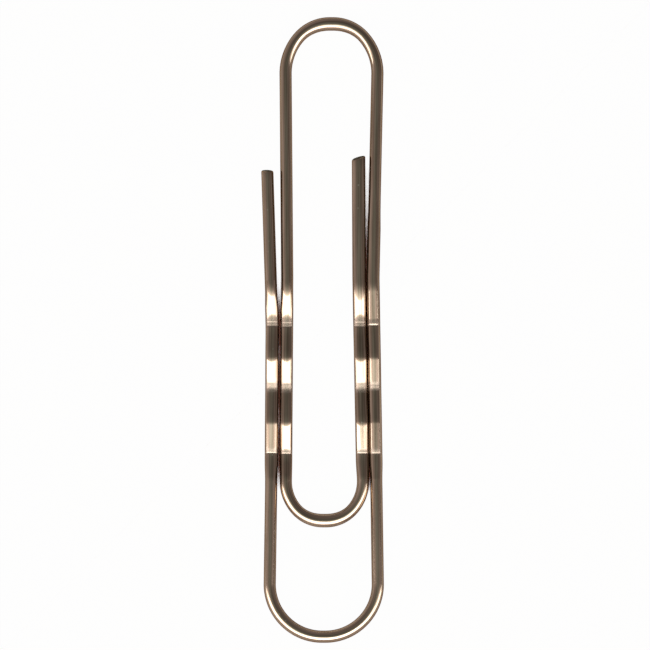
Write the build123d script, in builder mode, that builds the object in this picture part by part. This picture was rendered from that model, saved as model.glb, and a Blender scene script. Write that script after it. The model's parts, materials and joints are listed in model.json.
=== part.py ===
from build123d import *
import os
from math import atan2, cos, radians, sin, sqrt, tan

# Giant wavy paper clip: one length of drawn steel wire, bent into an outer loop and an inner tongue,
# with three shallow waves pressed across its four legs so that it grips.
# It lies flat on its waves: X is across the clip, Y is along it, Z is up from the table.
# The wire runs from the cut end of the outer leg, round the bottom bend, up the long leg, round the
# top bend, down the left side of the tongue, round the tongue bend and up to the other cut end.
# Each named length of it is its own solid, and the lengths meet face to face.
# The crown of each bend is where the wire twists as the clip opens, so the bends part there.

# Driving dimensions, in millimetres
overall_length = 77.0
wire_diameter = 1.5
tongue_setback = 14.2
tongue_half = 4.75
tongue_shift = 0.08
hip_gap = 0.23
long_leg_gap = 0.2
outer_knee_gap = 0.32

# A bend is tightest round its crown and opens out beyond its shoulder
crown_run = 0.4
shoulder_angle = radians(50)
top_flank_share = 1.35
tongue_flank_share = 1.2
bottom_flank_share = 1.0

# How far the legs lean: drawn in at the waist, spread at the bends, and off line at the cut ends
tongue_left_draw = 0.17
tongue_right_draw = 0.48
bottom_flare = 0.17
long_leg_flare = 0.55
tongue_flare = 0.2
outer_tip_splay = 0.63
tongue_tip_tuck = 0.07
knee_radius = 12.0
knee_lead = 1.0

# Cut ends, measured up from the waist: each end face leans up a little, and the tongue's is on a slant
outer_tip_rise = 13.15
tongue_tip_rise = 14.75
outer_lean = radians(12)
outer_slant = radians(-2)
tongue_lean = radians(14)
tongue_slant = radians(16)
tip_edge = 0.1
cut_allowance = 0.5

# The pressed waves
wave_pitch = 8.0
wave_valleys = 3
wave_depth = 0.6
long_leg_wave_depth = 0.5
valley_radius = 5.5
crest_radius = 3.6
upper_runout = 4.2
lower_runout = 3.1
lower_runout_radius = 1.8
upper_lead = 0.5
lower_lead = 0.3
nip_length = 1.3
nip_depth = 0.1

# Sizes that follow from them
wire_radius = wire_diameter / 2
half_length = overall_length / 2
flat_z = wire_radius + wave_depth
wave_span = (wave_valleys - 1) * wave_pitch
hip_half = tongue_half + wire_diameter + hip_gap
bottom_half = hip_half + bottom_flare
tongue_left_waist_half = tongue_half - tongue_left_draw - tongue_shift
tongue_right_waist_half = tongue_half - tongue_right_draw + tongue_shift
outer_knee_half = tongue_left_waist_half + wire_diameter + outer_knee_gap
long_waist_half = tongue_right_waist_half + wire_diameter + long_leg_gap
outer_tip_half = outer_knee_half + outer_tip_splay
top_right = long_waist_half + long_leg_flare
top_left = tongue_left_waist_half + tongue_flare
top_half = (top_right + top_left) / 2

# The clip's own axis stands off the middle of its outline, because the outer leg splays past the bend
axis_x = (outer_tip_half - bottom_half) / 2
tongue_x = axis_x + tongue_shift
top_x = axis_x + (top_right - top_left) / 2

left = -1
right = 1
up = 1
down = -1


def flat_point(half_width, y, side):
    """A point on the middle of the flat wire, so far to one side of the clip's axis."""
    return Vector(axis_x + side * half_width, y, flat_z)


def point_at(start, end, y):
    """The point at height y on the straight line through two points of the flat wire."""
    share = (y - start.Y) / (end.Y - start.Y)
    return start + (end - start) * share


def bend_radii(half_width, flank_share):
    """The radii round a bend's crown and beyond its shoulder that give its legs this half width."""
    beyond = 1 - sin(shoulder_angle)
    crown_radius = (half_width - crown_run / 2) / (sin(shoulder_angle) + flank_share * beyond)
    return crown_radius, crown_radius * flank_share


class Bend:
    """One half of a bend in the flat wire: its crown, its shoulder, and where it touches its leg."""

    def __init__(self, side, sense, crown, half_width, flank_share, knee):
        crown_radius, flank_radius = bend_radii(half_width, flank_share)
        reach = Vector(side * sin(shoulder_angle), sense * cos(shoulder_angle), 0)
        self.crown = crown
        self.away = Vector(side, 0, 0)
        self.arc_start = crown + self.away * (crown_run / 2)
        self.shoulder = self.arc_start - Vector(0, sense * crown_radius, 0) + reach * crown_radius
        self.round = Vector(side * cos(shoulder_angle), -sense * sin(shoulder_angle), 0)
        flank = self.shoulder - reach * flank_radius
        across = side * (knee.X - flank.X)
        along = sense * (flank.Y - knee.Y)
        run = sqrt(across**2 + along**2 - flank_radius**2)
        lean = atan2(along, across) - atan2(run, flank_radius)
        self.touch = flank + Vector(side * cos(lean), -sense * sin(lean), 0) * flank_radius


def save(piece, name):
    """Label a finished length of wire and write it out."""
    piece.part.label = name
    export_step(piece.part, f"parts/{name}.step")


def bend_half(bend):
    """Half of a bend: a short straight crown, an arc to the shoulder and an arc that meets the leg."""
    with BuildPart() as piece:
        with BuildLine() as route:
            Line(bend.crown, bend.arc_start)
            TangentArc(bend.arc_start, bend.shoulder, tangent=bend.away)
            TangentArc(bend.shoulder, bend.touch, tangent=bend.round)
        with BuildSketch(Plane(origin=bend.crown, z_dir=bend.away)):
            Circle(wire_radius)
        sweep(path=route.wire())
    return piece


def bent_route(corners, radii):
    """Lines of the wire's middle along straight runs, with an arc of its own radius at each corner."""
    point = corners[0]
    for corner, after, radius in zip(corners[1:-1], corners[2:], radii):
        heading = (corner - point).normalized()
        turned = (after - corner).normalized()
        reach = radius * tan(radians(heading.get_angle(turned)) / 2)
        Line(point, corner - heading * reach)
        point = corner + turned * reach
        TangentArc(corner - heading * reach, point, tangent=heading)
    Line(point, corners[-1])


def bent_leg(start, knee, end):
    """A leg that bends a little in its own plane, at a knee."""
    with BuildPart() as piece:
        with BuildLine() as route:
            bent_route([start, knee, end], [knee_radius])
        with BuildSketch(Plane(origin=start, z_dir=knee - start)):
            Circle(wire_radius)
        sweep(path=route.wire())
    return piece


def cut_leg(corners, slant, lean):
    """A free leg, sheared off at its tip with the edge of the cut broken."""
    tip = corners[-1]
    stock_end = tip + (tip - corners[-2]).normalized() * cut_allowance
    cut = Plane(origin=tip, z_dir=(-sin(slant) * cos(lean), cos(slant) * cos(lean), sin(lean)))
    with BuildPart() as piece:
        with BuildLine() as route:
            bent_route([*corners[:-1], stock_end], [knee_radius])
        with BuildSketch(Plane(origin=corners[0], z_dir=corners[1] - corners[0])):
            Circle(wire_radius)
        sweep(path=route.wire())
        split(bisect_by=cut, keep=Keep.BOTTOM)
        chamfer(piece.faces().sort_by(Axis.Y)[-1].edges(), tip_edge)
    return piece


def slope(run, depth, radius):
    """The angle of the slope between a valley's arc and a crest's arc of this radius."""
    arcs = valley_radius + radius
    straight = sqrt((arcs - depth) ** 2 + run**2 - arcs**2)
    return atan2(run, arcs - depth) - atan2(straight, arcs)


def wave_corners(start, knee, end, depth):
    """Corners and radii of a waved leg whose last valley is at the knee, from its lower end up."""
    below = (knee - start).normalized()
    above = (end - knee).normalized()
    inlet = slope(lower_runout, depth, lower_runout_radius)
    side = slope(wave_pitch / 2, depth, crest_radius)
    outlet = slope(upper_runout, depth, crest_radius)
    brow = lower_runout - lower_runout_radius * tan(inlet / 2)
    crest_rise = Vector(0, 0, crest_radius / cos(side) - crest_radius)
    corners = [start, knee - below * (wave_span + brow)]
    radii = [lower_runout_radius]
    fall = inlet
    for valley in range(wave_valleys):
        rise = outlet if valley == wave_valleys - 1 else side
        middle = knee - below * (wave_span - valley * wave_pitch)
        reach = valley_radius * tan((fall + rise) / 2)
        forward = reach * cos(fall) - valley_radius * sin(fall)
        height = valley_radius - depth - valley_radius * cos(fall) - reach * sin(fall)
        corners.append(middle + below * forward + Vector(0, 0, height))
        radii.append(valley_radius)
        if valley < wave_valleys - 1:
            corners.append(middle + below * (wave_pitch / 2) + crest_rise)
            radii.append(crest_radius)
        fall = side
    corners.append(knee + above * (upper_runout - crest_radius * tan(outlet / 2)))
    radii.append(crest_radius)
    return [*corners, end], radii


def waved_leg(start, knee, end, depth):
    """A leg with the waves pressed into it, from its lower end to its upper end."""
    below = (knee - start).normalized()
    nip_floor = Vector(0, 0, wire_radius - depth - nip_depth)
    with BuildPart() as piece:
        with BuildLine() as route:
            bent_route(*wave_corners(start, knee, end, depth))
        with BuildSketch(Plane(origin=start, z_dir=below)):
            Circle(wire_radius)
        sweep(path=route.wire())
        with BuildSketch(Plane(origin=knee + nip_floor, x_dir=below, z_dir=(0, 0, 1))):
            for valley in range(wave_valleys):
                with Locations((-valley * wave_pitch, 0)):
                    Rectangle(nip_length, wire_diameter)
        extrude(amount=wave_depth, mode=Mode.SUBTRACT)
    return piece


# Crowns of the three bends, and heights along the clip
top_crown = Vector(top_x, half_length - wire_radius, flat_z)
bottom_crown = Vector(axis_x, wire_radius - half_length, flat_z)
tongue_crown = Vector(tongue_x, tongue_setback + wire_radius - half_length, flat_z)
tongue_crown_radius, tongue_flank_radius = bend_radii(tongue_half, tongue_flank_share)
tongue_bend_rise = tongue_crown_radius + (tongue_flank_radius - tongue_crown_radius) * cos(shoulder_angle)
wave_end_y = tongue_crown.Y + tongue_bend_rise
last_valley_y = wave_end_y + lower_lead + lower_runout + wave_span
wave_top_y = last_valley_y + upper_runout + upper_lead
waist_y = wave_top_y + knee_lead
hip_y = wave_end_y - knee_lead

# Knees of the legs, at the waist above the waves and at the hip below them
# The outer leg has its upper knee in the last valley, where the press bent its free end outwards
tongue_left_waist = flat_point(tongue_left_waist_half, waist_y, left)
tongue_right_waist = flat_point(tongue_right_waist_half, waist_y, right)
long_waist = flat_point(long_waist_half, waist_y, right)
outer_knee = flat_point(outer_knee_half, last_valley_y, left)
outer_hip = flat_point(hip_half, hip_y, left)
long_hip = flat_point(hip_half, hip_y, right)

# The middle of the wire at the two cut ends
outer_tip = flat_point(outer_tip_half, waist_y + outer_tip_rise, left)
tongue_tip = flat_point(tongue_right_waist_half - tongue_tip_tuck, waist_y + tongue_tip_rise, right)

# The two halves of each bend
top_bend_left = Bend(left, up, top_crown, top_half, top_flank_share, tongue_left_waist)
top_bend_right = Bend(right, up, top_crown, top_half, top_flank_share, long_waist)
bottom_bend_left = Bend(left, down, bottom_crown, bottom_half, bottom_flank_share, outer_hip)
bottom_bend_right = Bend(right, down, bottom_crown, bottom_half, bottom_flank_share, long_hip)
tongue_bend_left = Bend(left, down, tongue_crown, tongue_half, tongue_flank_share, tongue_left_waist)
tongue_bend_right = Bend(right, down, tongue_crown, tongue_half, tongue_flank_share, tongue_right_waist)

# Where the waved length of each leg starts, has its last valley and ends
outer_wave_end = point_at(outer_knee, outer_hip, wave_end_y)
outer_wave_top = point_at(outer_knee, outer_tip, wave_top_y)
long_wave_end = point_at(long_waist, long_hip, wave_end_y)
long_valley = point_at(long_waist, long_hip, last_valley_y)
long_wave_top = point_at(long_waist, long_hip, wave_top_y)
tongue_left_valley = point_at(tongue_left_waist, tongue_bend_left.touch, last_valley_y)
tongue_left_top = point_at(tongue_left_waist, tongue_bend_left.touch, wave_top_y)
tongue_right_valley = point_at(tongue_right_waist, tongue_bend_right.touch, last_valley_y)
tongue_right_top = point_at(tongue_right_waist, tongue_bend_right.touch, wave_top_y)

os.makedirs("parts", exist_ok=True)

# The six halves of the three bends
save(bend_half(top_bend_left), "top_bend_left")
save(bend_half(top_bend_right), "top_bend_right")
save(bend_half(bottom_bend_left), "bottom_bend_left")
save(bend_half(bottom_bend_right), "bottom_bend_right")
save(bend_half(tongue_bend_left), "tongue_bend_left")
save(bend_half(tongue_bend_right), "tongue_bend_right")

# The waved length of each leg
save(waved_leg(outer_wave_end, outer_knee, outer_wave_top, wave_depth), "outer_leg_wave")
save(waved_leg(long_wave_end, long_valley, long_wave_top, long_leg_wave_depth), "long_leg_wave")
save(waved_leg(tongue_bend_left.touch, tongue_left_valley, tongue_left_top, wave_depth), "tongue_left_wave")
save(
    waved_leg(tongue_bend_right.touch, tongue_right_valley, tongue_right_top, wave_depth),
    "tongue_right_wave",
)

# The plain lengths between the waves and the bends
save(bent_leg(outer_wave_end, outer_hip, bottom_bend_left.touch), "outer_leg_lower")
save(bent_leg(long_wave_end, long_hip, bottom_bend_right.touch), "long_leg_lower")
save(bent_leg(long_wave_top, long_waist, top_bend_right.touch), "long_leg_upper")
save(bent_leg(tongue_left_top, tongue_left_waist, top_bend_left.touch), "tongue_left_upper")

# The two free ends
save(cut_leg([outer_wave_top, outer_tip], outer_slant, outer_lean), "outer_leg_tip")
save(
    cut_leg([tongue_right_top, tongue_right_waist, tongue_tip], tongue_slant, tongue_lean),
    "tongue_right_tip",
)
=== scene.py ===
# %% [markdown]
# A giant wavy paper clip, seen straight from above.
# The real clip is one drawn and plated steel wire, 1.5 mm thick. A machine feeds it, bends it round
# three bends, cuts it and presses waves across its legs.
# This lesson makes the wire in the same order: it feeds a ring of vertices along straight runs and
# swings it round each bend. Every named length of the CAD model gets its own piece.

# %% Load the CAD model
import json
from collections import namedtuple
from math import atan2, ceil, cos, degrees, pi, radians, sin, sqrt, tan

import bmesh
import bpy
from mathutils import Matrix, Vector


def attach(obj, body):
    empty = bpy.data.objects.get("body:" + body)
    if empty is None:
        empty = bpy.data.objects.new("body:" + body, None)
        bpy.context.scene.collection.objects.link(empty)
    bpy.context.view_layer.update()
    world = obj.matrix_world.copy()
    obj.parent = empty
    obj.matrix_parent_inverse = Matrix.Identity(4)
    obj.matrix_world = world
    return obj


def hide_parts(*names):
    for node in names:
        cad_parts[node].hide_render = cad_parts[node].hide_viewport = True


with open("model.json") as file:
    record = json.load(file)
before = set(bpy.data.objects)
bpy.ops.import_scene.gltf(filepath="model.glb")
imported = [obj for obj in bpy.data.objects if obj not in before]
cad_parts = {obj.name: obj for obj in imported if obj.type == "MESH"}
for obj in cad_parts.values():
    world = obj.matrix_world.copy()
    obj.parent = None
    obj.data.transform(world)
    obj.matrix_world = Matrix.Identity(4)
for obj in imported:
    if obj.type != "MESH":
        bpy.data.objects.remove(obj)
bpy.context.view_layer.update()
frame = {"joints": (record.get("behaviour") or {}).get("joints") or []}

# %% [markdown]
# Sizes come first. Millimetres suit an object this small, so the wire is shaped in millimetres and
# each finished mesh is scaled to metres. The names are those of the CAD model, and so are the values,
# except that the outer leg's knee and the top of the waves are moved a little, to suit this one clip.

# %% Sizes of the wire and its legs, in millimetres
MM = 0.001
wire_radius = 0.75
flat_z = 1.35
axis_x = 0.15
knee_radius = 12.0

tongue_left_waist_half = 4.5
tongue_right_waist_half = 4.35
long_waist_half = 6.05
outer_knee_half = 6.35
hip_half = 6.48
outer_tip_half = 6.95
tongue_tip_half = 4.28

wave_end_y = -18.645
last_valley_y = 0.755
wave_top_y = 6.1
waist_y = 6.455
hip_y = -19.645
outer_tip_y = 19.605
tongue_tip_y = 21.205

# %% [markdown]
# The joints of the CAD model sit on the crowns of the three bends, where the wire twists as the clip
# opens. Taking the crowns from there keeps the looks and the moving model in one frame.

# %% Crowns of the three bends
crowns = {joint["name"]: Vector(joint["pos_m"]) / MM for joint in frame["joints"]}
top_crown = crowns["tongue_lift"]
bottom_crown = crowns["outer_leg_lift"]
tongue_crown = crowns["tongue_free_leg_lift"]
for name, crown in crowns.items():
    print(name, "crown at", [round(value, 2) for value in crown])

# %% [markdown]
# The camera stands where the photograph was taken from: straight above, far enough away that the
# view is nearly parallel. The picture is 80 mm wide at the wire.

# %% Camera
view_width = 80.0
view_centre = Vector((0.30, 0.61, flat_z))
camera_data = bpy.data.cameras.new("overhead_camera")
camera_data.sensor_width = 36.0
camera_data.lens = 200.0
camera_data.clip_start = 0.01
camera = bpy.data.objects.new("overhead_camera", camera_data)
camera_height = view_width * camera_data.lens / camera_data.sensor_width
camera.location = (view_centre + Vector((0, 0, camera_height))) * MM
bpy.context.scene.collection.objects.link(camera)
bpy.context.scene.camera = camera
print("camera height, mm:", round(camera_height, 1))

# %% [markdown]
# A wire bent round a pin springs back a little, so a bend is tightest at its crown and opens out
# beyond its shoulder. Half a bend is then two corners with a radius each: one between the straight
# crown and the shoulder, and one between the shoulder and the leg that comes from a knee.

# %% Corners of half a bend
crown_half = 0.2
shoulder_angle = radians(50)
left, right, up, down = -1, 1, 1, -1


def flat_point(half_width, y, side):
    """A point on the middle of the flat wire, so far to one side of the clip's axis."""
    return Vector((axis_x + side * half_width, y, flat_z))


class Bend:
    """Half a bend: its corners from the crown to the leg, their radii, and where it meets the leg."""

    def __init__(self, side, sense, crown, half_width, flank_share, knee):
        beyond = 1 - sin(shoulder_angle)
        crown_radius = (half_width - crown_half) / (sin(shoulder_angle) + flank_share * beyond)
        flank_radius = crown_radius * flank_share
        outward = Vector((side, 0, 0))
        reach = Vector((side * sin(shoulder_angle), sense * cos(shoulder_angle), 0))
        turning = Vector((side * cos(shoulder_angle), -sense * sin(shoulder_angle), 0))
        arc_start = crown + outward * crown_half
        shoulder = arc_start - Vector((0, sense * crown_radius, 0)) + reach * crown_radius
        flank = shoulder - reach * flank_radius
        across = side * (knee.x - flank.x)
        along = sense * (flank.y - knee.y)
        run = sqrt(across**2 + along**2 - flank_radius**2)
        lean = atan2(along, across) - atan2(run, flank_radius)
        self.touch = flank + Vector((side * cos(lean), -sense * sin(lean), 0)) * flank_radius
        last_turn = turning.angle(knee - self.touch)
        first = arc_start + outward * crown_radius * tan(shoulder_angle / 2)
        second = shoulder + turning * flank_radius * tan(last_turn / 2)
        self.corners = [crown, first, second, self.touch]
        self.radii = [crown_radius, flank_radius]
        self.side = side
        self.centre = arc_start - Vector((0, sense * crown_radius, 0))


# %% The three bends and the knees of the legs
outer_knee = flat_point(outer_knee_half, last_valley_y, left)
outer_hip = flat_point(hip_half, hip_y, left)
long_hip = flat_point(hip_half, hip_y, right)
long_waist = flat_point(long_waist_half, waist_y, right)
tongue_left_waist = flat_point(tongue_left_waist_half, waist_y, left)
tongue_right_waist = flat_point(tongue_right_waist_half, waist_y, right)

top_bend_half, top_flank_share = 5.65, 1.35
bottom_bend_half, bottom_flank_share = 6.65, 1.0
tongue_bend_half, tongue_flank_share = 4.75, 1.2

top_form = top_crown, top_bend_half, top_flank_share
bottom_form = bottom_crown, bottom_bend_half, bottom_flank_share
tongue_form = tongue_crown, tongue_bend_half, tongue_flank_share
top_left_bend = Bend(left, up, *top_form, tongue_left_waist)
top_right_bend = Bend(right, up, *top_form, long_waist)
bottom_left_bend = Bend(left, down, *bottom_form, outer_hip)
bottom_right_bend = Bend(right, down, *bottom_form, long_hip)
tongue_left_bend = Bend(left, down, *tongue_form, tongue_left_waist)
tongue_right_bend = Bend(right, down, *tongue_form, tongue_right_waist)
top_radii = [round(radius, 2) for radius in top_left_bend.radii]
print("radii round the top crown and its flanks, mm:", top_radii)

# %% [markdown]
# The waves were pressed into all four legs at once by a toothed die: three valleys, 8 mm apart. Seen
# from the side each slope is a straight line, so a wave is more corners with radii between them.
# The brow above the last valley is wide and soft. The press also bent the outer leg's free end
# outwards, so its last valley is a knee as well.

# %% Corners of a waved leg
wave_pitch = 8.0
crest_radius = 3.6
valley_radii = (5.5, 5.5, 8.0)
lower_runout = 3.1
lower_runout_radius = 1.8
brow_runout = 5.3
brow_radius = 14.0
wave_span = wave_pitch * (len(valley_radii) - 1)


def slope_angle(run, depth, radii):
    """The angle of the slope between a valley's arc and a crest's arc, whose radii come to this sum."""
    straight = sqrt((radii - depth) ** 2 + run**2 - radii**2)
    return atan2(run, radii - depth) - atan2(straight, radii)


def arc_corner(radius, before, after):
    """Where the slopes before and after an arc would meet: how far along and past its middle."""
    reach = radius * tan((before + after) / 2)
    along = reach * cos(before) - radius * sin(before)
    past = reach * sin(before) - radius * (1 - cos(before))
    return along, past


def wave_corners(start, knee, end, depths):
    """Corners and radii of a waved leg whose last valley is at the knee, from its lower end up."""
    below = (knee - start).normalized()
    above = (end - knee).normalized()
    sides = [
        slope_angle(wave_pitch / 2, depth, radius + crest_radius)
        for depth, radius in zip(depths, valley_radii)
    ]
    inlet = slope_angle(lower_runout, depths[0], valley_radii[0] + lower_runout_radius)
    brow = slope_angle(brow_runout, depths[-1], valley_radii[-1] + brow_radius)
    falls = [inlet, *sides[1:]]
    rises = [*sides[:-1], brow]
    first_valley = knee - below * wave_span
    corners = [start, first_valley - below * (lower_runout - lower_runout_radius * tan(inlet / 2))]
    radii = [lower_runout_radius]
    for valley, depth in enumerate(depths):
        if valley > 0:
            along, past = arc_corner(crest_radius, rises[valley - 1], falls[valley])
            crest = first_valley + below * (wave_pitch * (valley - 0.5) + along)
            corners.append(crest + Vector((0, 0, past)))
            radii.append(crest_radius)
        along, past = arc_corner(valley_radii[valley], falls[valley], rises[valley])
        bottom = first_valley + below * (wave_pitch * valley + along)
        corners.append(bottom - Vector((0, 0, depth + past)))
        radii.append(valley_radii[valley])
    corners.append(knee + above * (brow_runout - brow_radius * tan(brow / 2)))
    radii.append(brow_radius)
    return [*corners, end], radii


print("from the first valley to the last, mm:", wave_span)

# %% [markdown]
# Feeding the wire. A ring of vertices stands across the start of the path. Each step extrudes the
# ring's edges and moves the new ring: forwards on a straight run, or round a centre on a bend.
# The ring keeps its top on top, and each vertex remembers where it lay on the straight wire before
# it was bent. The finish uses that later, because drawing lines follow the wire round its bends.

# %% Feed and bend the wire
ring_sides = 72
bend_step = radians(1.25)
plain_step = 2.0
pressed_step = 0.06
whole_step_slack = 1e-6


class FedWire:
    """A wire being fed along a path: its mesh, the ring at its free end and the length fed so far."""

    def __init__(self, start, heading, fed):
        self.side = heading.cross(Vector((0, 0, 1))).normalized()
        rise = self.side.cross(heading)
        turn = Matrix((self.side, rise, heading)).transposed().to_4x4()
        self.mesh = bmesh.new()
        self.unbent = self.mesh.verts.layers.float_vector.new("unbent")
        ring = bmesh.ops.create_circle(
            self.mesh, radius=wire_radius, segments=ring_sides, matrix=Matrix.Translation(start) @ turn
        )
        for vert in ring["verts"]:
            offset = vert.co - start
            vert[self.unbent] = (offset.dot(self.side), offset.dot(rise), fed)
        self.first_ring = list(self.mesh.edges)
        self.ring = list(self.mesh.edges)
        self.fed = fed
        self.point = start
        self.heading = heading

    def grow(self, length):
        """Extrude the free ring and return the new ring's vertices."""
        grown = bmesh.ops.extrude_edge_only(self.mesh, edges=self.ring)["geom"]
        verts = {item for item in grown if isinstance(item, bmesh.types.BMVert)}
        edges = [item for item in grown if isinstance(item, bmesh.types.BMEdge)]
        self.ring = [edge for edge in edges if verts.issuperset(edge.verts)]
        self.fed += length
        for vert in verts:
            vert[self.unbent] = (*vert[self.unbent].xy, self.fed)
        return list(verts)

    def feed(self, end, step):
        """Feed the wire straight to a point."""
        run = end - self.point
        steps = ceil(run.length / step - whole_step_slack)
        for _ in range(steps):
            bmesh.ops.translate(self.mesh, vec=run / steps, verts=self.grow(run.length / steps))
        self.point = end

    def bend(self, corner, after, radius, angle_step, step):
        """Feed the wire to a bend at a corner, and swing it round towards the next point."""
        turned = (after - corner).normalized()
        angle = self.heading.angle(turned)
        axis = self.heading.cross(turned).normalized()
        reach = radius * tan(angle / 2)
        self.feed(corner - self.heading * reach, step)
        centre = self.point + axis.cross(self.heading) * radius
        steps = ceil(angle / angle_step) + 1
        swing = Matrix.Rotation(angle / steps, 3, axis)
        for _ in range(steps):
            ring = self.grow(radius * angle / steps)
            bmesh.ops.rotate(self.mesh, cent=centre, matrix=swing, verts=ring)
        self.point = corner + turned * reach
        self.heading = turned


def fed_wire(corners, radii, fed, fine=False):
    """A wire along a path of corners with a radius at each inner one."""
    step = pressed_step if fine else plain_step
    wire = FedWire(corners[0], (corners[1] - corners[0]).normalized(), fed)
    for corner, after, radius in zip(corners[1:-1], corners[2:], radii):
        wire.bend(corner, after, radius, step / radius if fine else bend_step, step)
    wire.feed(corners[-1], step)
    return wire


# %% [markdown]
# The forming pins flattened the crowns of the top bend and the tongue bend, which spread towards the
# inside. The toothed die squeezed the waved lengths a little wider, and most of them flatter on top.
# Both are real changes of the wire's section, so they are made by moving the vertices.

# %% Flatten the crowns and squeeze the legs
crown_spread = 0.17
thinning_share = 0.25
squeeze_run = 2.5
brow_clear = 1.2
upper_squeeze_run = 9.0
land_start = 0.4


def ramp(value):
    """A smooth step from 0 to 1."""
    value = min(max(value, 0.0), 1.0)
    return value * value * (3 - 2 * value)


def flatten_crown(wire, bend, spread):
    """Flatten the crown of a bend, which widens it towards the inside."""
    for vert in wire.mesh.verts:
        past = max(bend.side * (vert.co.x - bend.centre.x), 0.0)
        outward = Vector((bend.side * past, vert.co.y - bend.centre.y, 0))
        weight = ramp(1 - atan2(past, abs(outward.y)) / shoulder_angle)
        inside = (bend.radii[0] + wire_radius - outward.length) / (2 * wire_radius)
        vert.co -= outward.normalized() * (spread * inside * weight)
        vert.co.z -= (vert.co.z - flat_z) * spread * weight * thinning_share


def squeeze(wire, start, end, press):
    """Widen the wire and flatten its top between the ends of the press."""
    for vert in wire.mesh.verts:
        across, rise, run = vert[wire.unbent]
        weight = ramp((run - start) / squeeze_run) * ramp((end - run) / squeeze_run)
        vert.co += wire.side * (across * press.width * weight)
        vert.co.z -= max(rise - land_start, 0.0) * press.flatness * weight


# %% [markdown]
# Each tooth also left a nip across the top of the wire, at the bottom of a valley: a dent whose floor
# tilts or ripples by a few hundredths of a millimetre and ends in a small wall. From above it shows as
# bright and dark lines, with a dull scuffed patch round them. The die bit unevenly, so every leg has
# valley depths of its own, from the lowest valley up, and the long leg has nips of its own.

# %% Bites of the press
Nip = namedtuple("Nip", "top bottom tilt ripple pitch")
Press = namedtuple("Press", "depths shift width flatness nips")
nip_wall = 0.12
nip_edge = 0.2
nip_blend = 0.4
scuff_run = 0.8

die_nips = (
    Nip(top=-14.95, bottom=-15.25, tilt=0.09, ripple=0.0, pitch=1.0),
    Nip(top=-6.45, bottom=-7.65, tilt=0.0, ripple=-0.008, pitch=1.2),
    Nip(top=1.1, bottom=0.35, tilt=0.055, ripple=0.002, pitch=0.5),
)
long_leg_nips = (
    Nip(top=-14.95, bottom=-15.25, tilt=0.07, ripple=0.0, pitch=1.0),
    Nip(top=-6.65, bottom=-7.45, tilt=0.0, ripple=-0.005, pitch=0.8),
    Nip(top=0.85, bottom=0.5, tilt=0.16, ripple=0.0, pitch=1.0),
)
outer_press = Press((0.35, 0.6, 0.6), shift=0.0, width=0.09, flatness=0.25, nips=die_nips)
long_press = Press((0.22, 0.37, 0.4), shift=-0.05, width=0.09, flatness=0.0, nips=long_leg_nips)
tongue_left_press = Press((0.6, 0.6, 0.6), shift=-0.1, width=0.03, flatness=0.25, nips=die_nips)
tongue_right_press = Press((0.45, 0.6, 0.6), shift=-0.05, width=0.11, flatness=0.25, nips=die_nips)


def press_nips(wire, press):
    """Dent the top of the wire under each tooth and scuff it. Returns how many vertices are scuffed."""
    pressed = wire.mesh.verts.layers.float.new("pressed")
    for vert in wire.mesh.verts:
        crown = ramp((vert[wire.unbent].y - nip_edge) / nip_blend)
        for nip in press.nips:
            below_top = nip.top + press.shift - vert.co.y
            above_bottom = vert.co.y - nip.bottom - press.shift
            weight = crown * ramp(min(below_top, above_bottom) / nip_wall)
            ripple = nip.ripple * sin(2 * pi * below_top / nip.pitch)
            vert.co.z -= weight * (nip.tilt * below_top + ripple)
            if above_bottom > 0:
                vert[pressed] = max(vert[pressed], ramp(1 + below_top / scuff_run))
    return sum(vert[pressed] > 0 for vert in wire.mesh.verts)


brow_radii = valley_radii[-1] + brow_radius
steepest_brow = slope_angle(brow_runout, outer_press.depths[-1], brow_radii)
print("steepest brow, degrees:", round(degrees(steepest_brow), 1))

# %% [markdown]
# The two free ends were sheared off. Each cut leans back a little, so its face shows from above, and
# the tongue's is on a slant. The wire is fed past the cut, sliced by a plane, closed with a face and
# rubbed round with a bevel.

# %% Shear a free end
cut_allowance = 0.6
cut_edge = 0.2
cut_edge_segments = 4
cut_face_spread = radians(30)


def cut_normal(slant, lean):
    """The direction that a sheared end faces."""
    return Vector((-sin(slant) * cos(lean), cos(slant) * cos(lean), sin(lean)))


def shear(wire, tip, normal):
    """Slice the wire off at its tip, close it and round the edge. Returns the faces of the cut."""
    mesh = wire.mesh
    everything = mesh.verts[:] + mesh.edges[:] + mesh.faces[:]
    sliced = bmesh.ops.bisect_plane(
        mesh, geom=everything, plane_co=tip, plane_no=normal, clear_outer=True
    )["geom_cut"]
    rim = [item for item in sliced if isinstance(item, bmesh.types.BMEdge)]
    bmesh.ops.edgeloop_fill(mesh, edges=rim)
    bmesh.ops.bevel(
        mesh, geom=rim, offset=cut_edge, affect="EDGES", segments=cut_edge_segments, profile=0.5,
        material=-1,
    )
    mesh.normal_update()
    return [face for face in mesh.faces if abs(face.normal.dot(normal)) > cos(cut_face_spread)]


# %% [markdown]
# Finishing a length of wire: its ends are closed, its sides are shaded smooth and its end edges kept
# sharp, so that two lengths meet without a visible seam.

# %% Finish a length of wire
def close_end(wire, ring):
    """Close an end with a face, and keep its edge sharp."""
    bmesh.ops.edgeloop_fill(wire.mesh, edges=ring)
    for edge in ring:
        edge.smooth = False


def finish_wire(wire, node, body, materials):
    """Turn the fed wire into a piece in metres that rides on its body and stands for its CAD node."""
    bmesh.ops.recalc_face_normals(wire.mesh, faces=wire.mesh.faces)
    bmesh.ops.scale(wire.mesh, vec=(MM, MM, MM), verts=wire.mesh.verts)
    for face in wire.mesh.faces:
        face.smooth = len(face.verts) <= 4
    mesh = bpy.data.meshes.new("wire_" + node)
    wire.mesh.to_mesh(mesh)
    wire.mesh.free()
    piece = bpy.data.objects.new("wire_" + node, mesh)
    bpy.context.scene.collection.objects.link(piece)
    for material in materials:
        mesh.materials.append(material)
    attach(piece, body)
    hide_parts(node)
    print(piece.name, "faces:", len(mesh.polygons))


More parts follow.
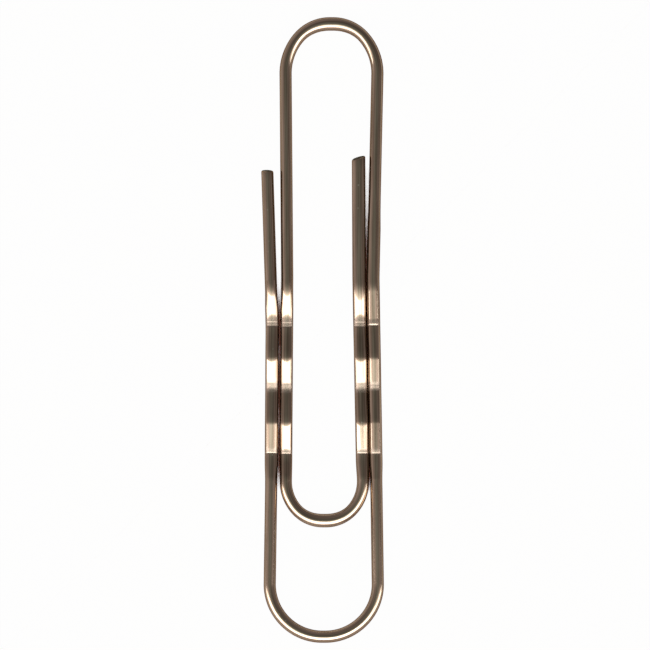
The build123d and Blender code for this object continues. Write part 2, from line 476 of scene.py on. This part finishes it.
# %% [markdown]
# The finish. The steel was drawn through a die, which leaves fine lines along it, and then thinly
# plated, which gives a warm tone that varies a little. Handling leaves specks and dull spots on the
# wire; on the cut ends the same specks are painted glints of the burrs. Three effects are shared by the
# wire and its cut ends, so each is a shader node group.

# %% Helpers for node trees
def add_node(tree, kind, place, **inputs):
    """A node at a place in the tree, with plain values on its named inputs."""
    node = tree.nodes.new(kind)
    node.location = place
    for name, value in inputs.items():
        node.inputs[name.replace("_", " ")].default_value = value
    return node


def math_node(tree, operation, values, place):
    """The result of a sum on values that are plain numbers or sockets."""
    node = add_node(tree, "ShaderNodeMath", place)
    node.operation = operation
    for socket, value in zip(node.inputs, values):
        if isinstance(value, float):
            socket.default_value = value
        else:
            tree.links.new(value, socket)
    return node.outputs["Value"]


def new_group(name, control, output):
    """A shader node group on the straight wire's coordinates, with one control and one output."""
    group = bpy.data.node_groups.new(name, "ShaderNodeTree")
    sockets = group.interface
    sockets.new_socket("Unbent", in_out="INPUT", socket_type="NodeSocketVector")
    sockets.new_socket(control, in_out="INPUT", socket_type="NodeSocketFloat")
    sockets.new_socket(output, in_out="OUTPUT", socket_type="NodeSocketFloat")
    start = add_node(group, "NodeGroupInput", (-900, 0))
    end = add_node(group, "NodeGroupOutput", (600, 0))
    return group, start, end


def stretched_noise(name, control, output, along, detail, roughness, low, high):
    """A group of noise that is stretched along the wire, and spread from two levels to 0..1."""
    group, start, end = new_group(name, control, output)
    stretch = add_node(group, "ShaderNodeMapping", (-650, 0), Scale=(1.0, 1.0, along))
    noise = add_node(group, "ShaderNodeTexNoise", (-350, 0), Detail=detail, Roughness=roughness)
    spread = add_node(group, "ShaderNodeMapRange", (-50, 0), From_Min=low, From_Max=high)
    group.links.new(start.outputs["Unbent"], stretch.inputs["Vector"])
    group.links.new(stretch.outputs["Vector"], noise.inputs["Vector"])
    group.links.new(start.outputs[control], noise.inputs["Scale"])
    group.links.new(noise.outputs["Fac"], spread.inputs["Value"])
    group.links.new(spread.outputs["Result"], end.inputs[output])
    return group


# %% Drawing lines and plating tone
drawing_lines = stretched_noise(
    "drawing_lines", "Fineness", "Lines", along=0.012, detail=5.0, roughness=0.62, low=0.43, high=0.58
)
plating_tone = stretched_noise(
    "plating_tone", "Size", "Tone", along=0.16, detail=3.0, roughness=0.5, low=0.3, high=0.7
)

# %% Handling specks, and painted glints on the cut ends
specks_and_painted_glints, start, end = new_group("specks_and_painted_glints", "Spacing", "Specks")
cells = add_node(specks_and_painted_glints, "ShaderNodeTexVoronoi", (-650, 0), Randomness=1.0)
dots = add_node(specks_and_painted_glints, "ShaderNodeMapRange", (-350, 150), From_Min=0.11, From_Max=0.05)
rarity = add_node(specks_and_painted_glints, "ShaderNodeSeparateColor", (-350, -150))
chosen = add_node(specks_and_painted_glints, "ShaderNodeMapRange", (-100, -150), From_Min=0.80, From_Max=0.84)
specks_and_painted_glints.links.new(start.outputs["Unbent"], cells.inputs["Vector"])
specks_and_painted_glints.links.new(start.outputs["Spacing"], cells.inputs["Scale"])
specks_and_painted_glints.links.new(cells.outputs["Distance"], dots.inputs["Value"])
specks_and_painted_glints.links.new(cells.outputs["Color"], rarity.inputs["Color"])
specks_and_painted_glints.links.new(rarity.outputs["Red"], chosen.inputs["Value"])
both = dots.outputs["Result"], chosen.outputs["Result"]
rare_dots = math_node(specks_and_painted_glints, "MULTIPLY", both, (250, 0))
specks_and_painted_glints.links.new(rare_dots, end.inputs["Specks"])
print("effects:", [group.name for group in bpy.data.node_groups])

# %% [markdown]
# The plated wire is a metal whose colour is set by its tone, darkened in the drawing lines, lightened
# by specks and dulled where the die scuffed it. The lines also rough it up and bump it by a few
# thousandths of a millimetre, which breaks the reflections into streaks along the wire. The thin
# plating turns copper-red at a glancing angle, which is the shader's own edge tint.

# %% Building blocks of a metal
def place_group(tree, group, unbent, name, value, place):
    """Put a shared effect into a material, on the straight wire's coordinates. Returns its mask."""
    node = tree.nodes.new("ShaderNodeGroup")
    node.node_tree = group
    node.location = place
    node.inputs[name].default_value = value
    tree.links.new(unbent.outputs["Vector"], node.inputs["Unbent"])
    return node.outputs[0]


def mix_colours(tree, amount, first, second, place):
    """Mix two colours by a mask. Each colour is a plain colour or a socket."""
    mix = add_node(tree, "ShaderNodeMix", place)
    mix.data_type = "RGBA"
    tree.links.new(amount, mix.inputs[0])
    for socket, colour in ((mix.inputs[6], first), (mix.inputs[7], second)):
        if isinstance(colour, tuple):
            socket.default_value = (*colour, 1.0)
        else:
            tree.links.new(colour, socket)
    return mix.outputs[2]


def scaled(tree, value, low, high, place):
    """Map a mask from 0..1 to a narrower range."""
    node = add_node(tree, "ShaderNodeMapRange", place, To_Min=low, To_Max=high)
    tree.links.new(value, node.inputs["Value"])
    return node.outputs["Result"]


def attribute(tree, name, place):
    """Read a value that the mesh carries."""
    node = add_node(tree, "ShaderNodeAttribute", place)
    node.attribute_name = name
    return node


def new_metal(name, edge_tint):
    """A new material with its tree, its metal shader and the straight wire's coordinates."""
    material = bpy.data.materials.new(name)
    material.use_nodes = True
    tree = material.node_tree
    shader = tree.nodes["Principled BSDF"]
    shader.inputs["Metallic"].default_value = 1.0
    shader.inputs["Specular Tint"].default_value = (*edge_tint, 1.0)
    return material, tree, shader, attribute(tree, "unbent", (-1500, 0))


def bump_lines(tree, shader, lines, strength, height):
    """Raise the drawing lines a little, with their height in metres."""
    bump = add_node(tree, "ShaderNodeBump", (-300, -300), Strength=strength, Distance=height)
    tree.links.new(lines, bump.inputs["Height"])
    tree.links.new(bump.outputs["Normal"], shader.inputs["Normal"])


# %% Plated wire
warm_plating = (0.47, 0.38, 0.285)
pale_plating = (0.54, 0.44, 0.335)
line_brown = (0.24, 0.18, 0.125)
scuff_grey = (0.42, 0.35, 0.28)
speck_cream = (0.66, 0.58, 0.48)

plated_wire, tree, shader, unbent = new_metal("plated_wire", edge_tint=(0.28, 0.09, 0.06))
lines = place_group(tree, drawing_lines, unbent, "Fineness", 7.0, (-1200, 200))
tone = place_group(tree, plating_tone, unbent, "Size", 0.8, (-1200, 0))
specks = place_group(tree, specks_and_painted_glints, unbent, "Spacing", 0.85, (-1200, -200))
pressed = attribute(tree, "pressed", (-1200, -400)).outputs["Fac"]
colour = mix_colours(tree, tone, warm_plating, pale_plating, (-800, 200))
lined = scaled(tree, lines, 0.0, 0.75, (-1000, 400))
colour = mix_colours(tree, lined, colour, line_brown, (-600, 200))
scuffed = scaled(tree, pressed, 0.0, 0.8, (-600, 400))
colour = mix_colours(tree, scuffed, colour, scuff_grey, (-400, 200))
colour = mix_colours(tree, specks, colour, speck_cream, (-200, 200))
tree.links.new(colour, shader.inputs["Base Color"])
line_dullness = scaled(tree, lines, 0.05, 0.13, (-600, 0))
scuff_dullness = scaled(tree, pressed, 0.0, 0.26, (-600, -200))
dullness = math_node(tree, "MAXIMUM", (line_dullness, scuff_dullness), (-400, -100))
tree.links.new(dullness, shader.inputs["Roughness"])
bump_lines(tree, shader, lines, strength=0.35, height=0.000004)

# %% [markdown]
# The sheared faces are bare steel, torn rather than drawn: duller, greyer and rougher, with coarse
# lines where the blade passed. Their light specks are painted glints of the burrs.

# %% Sheared steel
dark_steel = (0.11, 0.105, 0.085)
grey_steel = (0.17, 0.16, 0.13)
blade_line = (0.08, 0.075, 0.06)
painted_burr_glint = (0.4, 0.37, 0.3)

sheared_steel, tree, shader, unbent = new_metal("sheared_steel", edge_tint=(0.5, 0.46, 0.38))
lines = place_group(tree, drawing_lines, unbent, "Fineness", 14.0, (-1200, 200))
tone = place_group(tree, plating_tone, unbent, "Size", 2.5, (-1200, 0))
specks = place_group(tree, specks_and_painted_glints, unbent, "Spacing", 3.0, (-1200, -200))
colour = mix_colours(tree, tone, dark_steel, grey_steel, (-800, 200))
lined = scaled(tree, lines, 0.0, 0.5, (-1000, 400))
colour = mix_colours(tree, lined, colour, blade_line, (-600, 200))
# The light specks here are painted glints of the burrs.
colour = mix_colours(tree, specks, colour, painted_burr_glint, (-400, 200))
tree.links.new(colour, shader.inputs["Base Color"])
tree.links.new(scaled(tree, tone, 0.38, 0.55, (-600, -100)), shader.inputs["Roughness"])
bump_lines(tree, shader, lines, strength=0.6, height=0.000008)
print("materials:", plated_wire.name, sheared_steel.name)

# %% [markdown]
# Now the wire itself, from the cut end of the outer leg to the cut end of the tongue. Each length
# starts where the last one stopped, so the drawing lines run on from piece to piece.

# %% Where the waved lengths start, turn and stop
def at_height(start, end, y):
    """The point at height y on the line through two points."""
    return start + (end - start) * ((y - start.y) / (end.y - start.y))


outer_tip = flat_point(outer_tip_half, outer_tip_y, left)
tongue_tip = flat_point(tongue_tip_half, tongue_tip_y, right)
outer_wave_end = at_height(outer_knee, outer_hip, wave_end_y)
outer_wave_top = at_height(outer_knee, outer_tip, wave_top_y)
long_wave_end = at_height(long_waist, long_hip, wave_end_y)
long_valley = at_height(long_waist, long_hip, last_valley_y)
long_wave_top = at_height(long_waist, long_hip, wave_top_y)
tongue_left_foot = tongue_left_bend.touch
tongue_left_valley = at_height(tongue_left_waist, tongue_left_foot, last_valley_y)
tongue_left_top = at_height(tongue_left_waist, tongue_left_foot, wave_top_y)
tongue_right_foot = tongue_right_bend.touch
tongue_right_valley = at_height(tongue_right_waist, tongue_right_foot, last_valley_y)
tongue_right_top = at_height(tongue_right_waist, tongue_right_foot, wave_top_y)

outer_wave = outer_wave_end, outer_knee, outer_wave_top
long_wave = long_wave_end, long_valley, long_wave_top
tongue_left_wave = tongue_left_foot, tongue_left_valley, tongue_left_top
tongue_right_wave = tongue_right_foot, tongue_right_valley, tongue_right_top
print("outer wave, mm:", [[round(value, 2) for value in point] for point in outer_wave])


# %% Kinds of length, each of which takes the length fed so far and returns the new one
def plain_length(fed, node, body, corners, press=None):
    """Make one plain length of the wire. The press may have reached some way onto it."""
    wire = fed_wire(corners, [knee_radius], fed)
    if press:
        squeeze(wire, fed - squeeze_run, fed + upper_squeeze_run, press)
    close_end(wire, wire.first_ring)
    close_end(wire, wire.ring)
    finish_wire(wire, node, body, [plated_wire])
    return wire.fed


def waved_length(fed, node, body, wave, press, upwards, past_end=0.0):
    """Make one waved length of the wire. The press may reach past its end, onto the next length."""
    corners, radii = wave_corners(*wave, press.depths)
    if not upwards:
        corners.reverse()
        radii.reverse()
    wire = fed_wire(corners, radii, fed, fine=True)
    squeeze(wire, fed + (0 if upwards else brow_clear), wire.fed + past_end, press)
    print(node, "vertices under the teeth:", press_nips(wire, press))
    close_end(wire, wire.first_ring)
    close_end(wire, wire.ring)
    finish_wire(wire, node, body, [plated_wire])
    return wire.fed


def bent_length(fed, node, body, bend, order, spread=0.0):
    """Make half a bend, fed from its crown to its leg (order 1) or from its leg to its crown (-1)."""
    wire = fed_wire(bend.corners[::order], bend.radii[::order], fed)
    flatten_crown(wire, bend, spread)
    close_end(wire, wire.first_ring)
    close_end(wire, wire.ring)
    finish_wire(wire, node, body, [plated_wire])
    return wire.fed


def free_end(fed, node, body, corners, slant, lean, press=None):
    """Make a free end of the wire, fed from its leg past the cut and sheared."""
    tip = corners[-1]
    stock_end = tip + (tip - corners[-2]).normalized() * cut_allowance
    wire = fed_wire([*corners[:-1], stock_end], [knee_radius], fed)
    if press:
        squeeze(wire, fed - squeeze_run, wire.fed + squeeze_run, press)
    close_end(wire, wire.first_ring)
    for face in shear(wire, tip, cut_normal(slant, lean)):
        if face.calc_center_median().y > tip.y - wire_radius:
            face.material_index = 1
    finish_wire(wire, node, body, [plated_wire, sheared_steel])


# %% Outer leg and bottom bend
outer_lower_run = [outer_wave_end, outer_hip, bottom_left_bend.touch]
fed = 0.0
free_end(fed, "outer_leg_tip", "outer_leg", [outer_wave_top, outer_tip], radians(-2), radians(12))
fed = waved_length(fed, "outer_leg_wave", "outer_leg", outer_wave, outer_press, False)
fed = plain_length(fed, "outer_leg_lower", "outer_leg", outer_lower_run)
fed = bent_length(fed, "bottom_bend_left", "outer_leg", bottom_left_bend, -1)
fed = bent_length(fed, "bottom_bend_right", "long_leg", bottom_right_bend, 1)
print("wire fed, mm:", round(fed, 1))

# %% Long leg and top bend
long_lower_run = [bottom_right_bend.touch, long_hip, long_wave_end]
long_upper_run = [long_wave_top, long_waist, top_right_bend.touch]
fed = plain_length(fed, "long_leg_lower", "long_leg", long_lower_run)
fed = waved_length(fed, "long_leg_wave", "long_leg", long_wave, long_press, True, squeeze_run)
fed = plain_length(fed, "long_leg_upper", "long_leg", long_upper_run, long_press)
fed = bent_length(fed, "top_bend_right", "long_leg", top_right_bend, -1, crown_spread)
fed = bent_length(fed, "top_bend_left", "tongue", top_left_bend, 1, crown_spread)
print("wire fed, mm:", round(fed, 1))

# %% Tongue
tongue_upper_run = [top_left_bend.touch, tongue_left_waist, tongue_left_top]
tongue_tip_run = [tongue_right_top, tongue_right_waist, tongue_tip]
free_leg = "tongue_free_leg"
fed = plain_length(fed, "tongue_left_upper", "tongue", tongue_upper_run)
fed = waved_length(fed, "tongue_left_wave", "tongue", tongue_left_wave, tongue_left_press, False)
fed = bent_length(fed, "tongue_bend_left", "tongue", tongue_left_bend, -1, crown_spread)
fed = bent_length(fed, "tongue_bend_right", free_leg, tongue_right_bend, 1, crown_spread)
fed = waved_length(
    fed, "tongue_right_wave", free_leg, tongue_right_wave, tongue_right_press, True, squeeze_run
)
free_end(
    fed, "tongue_right_tip", free_leg, tongue_tip_run, radians(16), radians(14), tongue_right_press
)
print("wire fed, mm:", round(fed, 1))

# %% [markdown]
# The floor is plain and white. Its own colour takes the light and keeps the clip's soft shadow, and a
# share of plain white is mixed in for what the camera and the metal see, so that it stays white. The
# share dies away where the floor is shut in, and there the floor's own colour is painted brown: painted
# shade in the slits between touching legs, standing for the little brown light that bounces down there.

# %% Floor
floor_size = 6.0
shelter_reach = 0.003
shut_in_below, open_above = 0.22, 0.24
# Painted shade: the brown that the floor turns where it is shut in between touching legs.
slit_painted_shade = (0.3, 0.13, 0.085)
floor_tan = (0.32, 0.28, 0.23)
white_shares = {"Is Camera Ray": 0.98, "Is Glossy Ray": 0.3, "Is Transmission Ray": 0.98}

floor_mesh = bpy.data.meshes.new("floor")
shape = bmesh.new()
bmesh.ops.create_grid(shape, x_segments=1, y_segments=1, size=floor_size / 2)
shape.to_mesh(floor_mesh)
shape.free()
floor = bpy.data.objects.new("floor", floor_mesh)
bpy.context.scene.collection.objects.link(floor)
paper = bpy.data.materials.new("white_floor")
paper.use_nodes = True
tree = paper.node_tree
tree.nodes.remove(tree.nodes["Principled BSDF"])

shelter = add_node(tree, "ShaderNodeAmbientOcclusion", (-1300, -300), Distance=shelter_reach)
shelter.samples = 64
openness = add_node(
    tree, "ShaderNodeMapRange", (-1100, -300), From_Min=shut_in_below, From_Max=open_above
)
tree.links.new(shelter.outputs["AO"], openness.inputs["Value"])
opened = openness.outputs["Result"]
path = add_node(tree, "ShaderNodeLightPath", (-1300, 300))
seen = 0.0
for ray, white_share in white_shares.items():
    seen = math_node(tree, "MULTIPLY_ADD", (path.outputs[ray], white_share, seen), (-900, 300))
matt = add_node(tree, "ShaderNodeBsdfDiffuse", (-300, 0))
# Where the floor is shut in, its colour turns brown: painted shade between touching legs.
tree.links.new(mix_colours(tree, opened, slit_painted_shade, floor_tan, (-600, 0)), matt.inputs["Color"])
white = add_node(tree, "ShaderNodeEmission", (-300, -200), Color=(1.0, 1.0, 1.0, 1.0), Strength=1.0)
mixed = add_node(tree, "ShaderNodeMixShader", (0, 0))
tree.links.new(math_node(tree, "MULTIPLY", (seen, opened), (-600, 300)), mixed.inputs["Fac"])
tree.links.new(matt.outputs["BSDF"], mixed.inputs[1])
tree.links.new(white.outputs["Emission"], mixed.inputs[2])
tree.links.new(mixed.outputs["Shader"], tree.nodes["Material Output"].inputs["Surface"])
floor_mesh.materials.append(paper)
print("floor, m:", floor_size)

# %% [markdown]
# The light is one long soft lamp in front of the clip, as in the photograph, where every bend has a
# white band on its lower side and the slopes that face the lamp are white. A lamp of one brightness
# ends in a hard line, so the room is lit a little beyond the lamp's upper edge, fading overhead.

# %% Lamp
lamp_radiance = 2.9
lamp_distance = 1.2
lamp_nearest_overhead = radians(18.5)
lamp_lowest = radians(54)
lamp_length = 9.0
lamp_tilt = (lamp_nearest_overhead + lamp_lowest) / 2
lamp_width = 2 * lamp_distance * tan((lamp_lowest - lamp_nearest_overhead) / 2)
lamp_data = bpy.data.lights.new("front_softbox", "AREA")
lamp_data.shape = "RECTANGLE"
lamp_data.size = lamp_length
lamp_data.size_y = lamp_width
lamp_data.energy = lamp_radiance * pi * lamp_length * lamp_width
lamp = bpy.data.objects.new("front_softbox", lamp_data)
lamp.location = (0, -lamp_distance * sin(lamp_tilt), lamp_distance * cos(lamp_tilt))
lamp.rotation_euler = (lamp_tilt, 0, 0)
lamp.visible_camera = False
bpy.context.scene.collection.objects.link(lamp)
print("lamp power, W:", round(lamp_data.energy, 1))

# %% [markdown]
# The rest of the studio is dim, and a mirror-like wire shows that as its dark middle. It is a little
# brighter low down, towards the lamp and to the left, and a little warmer low down than overhead.

# %% Studio
low_hue = (1.0, 0.86, 0.86)
overhead_hue = (0.96, 1.0, 0.95)
spill_level = 2.2
spill_fade = 2.0
spill_start = -0.02

studio = bpy.data.worlds.new("studio")
studio.use_nodes = True
tree = studio.node_tree
backdrop = tree.nodes["Background"]
direction = add_node(tree, "ShaderNodeTexCoord", (-1100, 0))
split = add_node(tree, "ShaderNodeSeparateXYZ", (-900, 0))
tree.links.new(direction.outputs["Generated"], split.inputs["Vector"])
ahead, height = split.outputs["Y"], split.outputs["Z"]


def between(value, low, high, at_low, at_high, place):
    """A level that runs from one value to another as a direction passes between two places."""
    node = add_node(tree, "ShaderNodeMapRange", place, From_Min=low, From_Max=high)
    node.inputs["To Min"].default_value = at_low
    node.inputs["To Max"].default_value = at_high
    tree.links.new(value, node.inputs["Value"])
    return node.outputs["Result"]


by_height = between(height, 0.0, 1.0, 0.4, 0.175, (-600, 300))
by_depth = between(ahead, -0.35, 0.45, 1.5, 0.75, (-600, 0))
by_side = between(split.outputs["X"], -0.9, 0.9, 1.5, 0.75, (-600, -300))
front_level = math_node(tree, "MULTIPLY", (by_height, by_depth), (-400, 100))
level = math_node(tree, "MULTIPLY", (front_level, by_side), (-200, 100))

lamp_edge = -tan(lamp_nearest_overhead)
towards_lamp = math_node(tree, "DIVIDE", (ahead, height), (-600, -600))
near_edge = between(towards_lamp, spill_start, lamp_edge, 0.0, 1.0, (-400, -600))
fall_off = math_node(tree, "POWER", (near_edge, spill_fade), (-200, -600))
well_above = between(height, 0.4, 0.7, 0.0, 1.0, (-400, -900))
spill = math_node(tree, "MULTIPLY", (fall_off, well_above), (0, -600))
strength = math_node(tree, "MULTIPLY_ADD", (spill, spill_level, level), (200, 0))
overhead = between(height, 0.7, 1.0, 0.0, 1.0, (-600, 600))
hue = mix_colours(tree, overhead, low_hue, overhead_hue, (-200, 600))
tree.links.new(hue, backdrop.inputs["Color"])
tree.links.new(strength, backdrop.inputs["Strength"])
bpy.context.scene.world = studio
bpy.context.scene.view_settings.view_transform = "Standard"
print("light spills up from the lamp's edge at", round(degrees(lamp_nearest_overhead), 1), "degrees")
